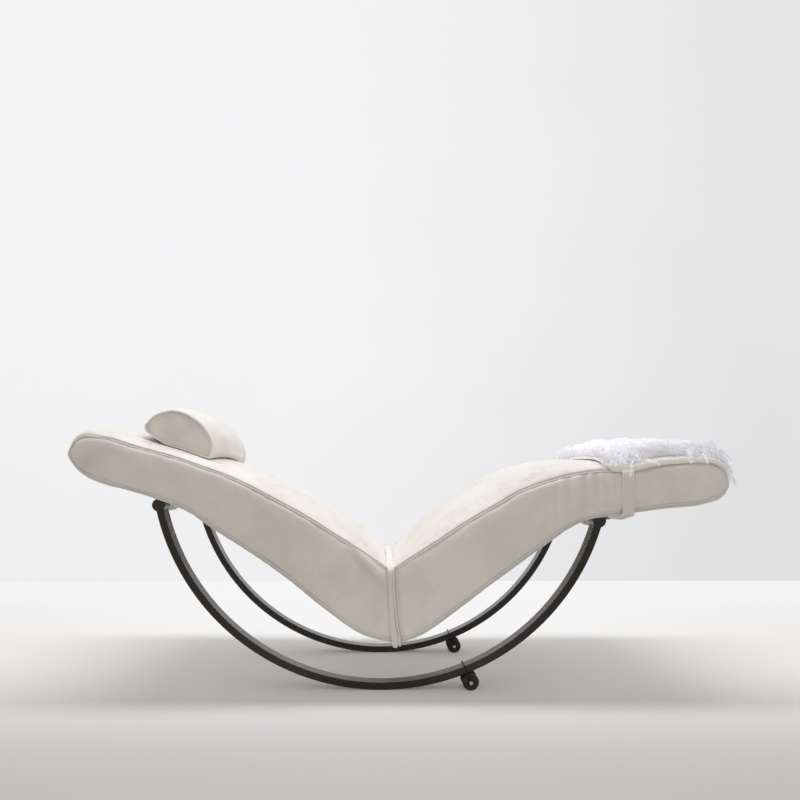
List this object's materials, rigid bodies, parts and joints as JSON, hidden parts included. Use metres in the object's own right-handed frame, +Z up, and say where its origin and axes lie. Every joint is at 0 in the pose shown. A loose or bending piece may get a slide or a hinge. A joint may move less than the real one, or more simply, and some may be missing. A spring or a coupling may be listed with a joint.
{
  "type": "rocking chaise longue",
  "caption": "Armless rocking chaise longue: two upholstered halves meet in a deep V on round steel arcs, with roller stops, a bolster headrest and a feather-trimmed foot cover",
  "frame": {"origin": "On the floor under the centre of the rocker arcs, midway between the two bars", "axes": "+X runs from head to foot, +Z is up, +Y is from the near bar of the picture to the far one"},
  "size_m": [1.7327, 0.7, 0.7848],
  "materials": {
    "bar_enamel": "satin",
    "tube_steel": "satin",
    "cap_plastic": "matte",
    "clamp_steel": "satin",
    "screw_steel": "satin",
    "board_wood": "matte",
    "plate_steel": "matte",
    "upholstery": "matte",
    "piping_cloth": "matte",
    "band_cloth": "matte",
    "headrest_cloth": "matte",
    "cover_cloth": "matte",
    "strap_cloth": "matte",
    "feathers": "matte",
    "bail_wire": "satin",
    "axle_steel": "satin",
    "roller_core": "satin",
    "roller_tyre": "matte"
  },
  "bodies": {
    "frame": {"rocker_bar_near": "bar_enamel", "rocker_bar_far": "bar_enamel", "head_cross_tube": "tube_steel", "foot_cross_tube": "tube_steel", "tube_end_caps": "cap_plastic", "head_clamps": "clamp_steel", "foot_clamps": "clamp_steel", "clamp_screws": "screw_steel", "backrest_board": "board_wood", "legrest_board": "board_wood", "seat_plates": "plate_steel", "backrest_cushion": "upholstery", "legrest_cushion": "upholstery", "backrest_piping": "piping_cloth", "legrest_piping": "piping_cloth", "centre_band": "band_cloth", "foot_cover": "cover_cloth", "foot_strap": "strap_cloth", "feather_trim": "feathers"},
    "headrest": {"headrest_cushion": "headrest_cloth", "headrest_piping": "piping_cloth"},
    "stop_near": {"stop_near_bail": "bail_wire", "stop_near_axle": "axle_steel"},
    "roller_near": {"stop_near_core": "roller_core", "stop_near_tyres": "roller_tyre"},
    "stop_far": {"stop_far_bail": "bail_wire", "stop_far_axle": "axle_steel"},
    "roller_far": {"stop_far_core": "roller_core", "stop_far_tyres": "roller_tyre"}
  },
  "joints": [
    {"name": "stop_near_slide", "type": "hinge", "parent": "frame", "child": "stop_near", "pos_m": [0, -0.2195, 0.63], "axis": [0, -1, 0], "range_deg": [0, 48]},
    {"name": "roller_near_spin", "type": "hinge", "parent": "stop_near", "child": "roller_near", "pos_m": [0.24488, -0.2195, 0.0225], "axis": [0, 1, 0], "continuous": true},
    {"name": "stop_far_slide", "type": "hinge", "parent": "frame", "child": "stop_far", "pos_m": [0, 0.2195, 0.63], "axis": [0, -1, 0], "range_deg": [0, 48]},
    {"name": "roller_far_spin", "type": "hinge", "parent": "stop_far", "child": "roller_far", "pos_m": [0.24488, 0.2195, 0.0225], "axis": [0, 1, 0], "continuous": true},
    {"name": "headrest_slide", "type": "slide", "parent": "frame", "child": "headrest", "axis": [0.9487, 0, -0.3161], "range_m": [-0.04, 0.06]}
  ]
}
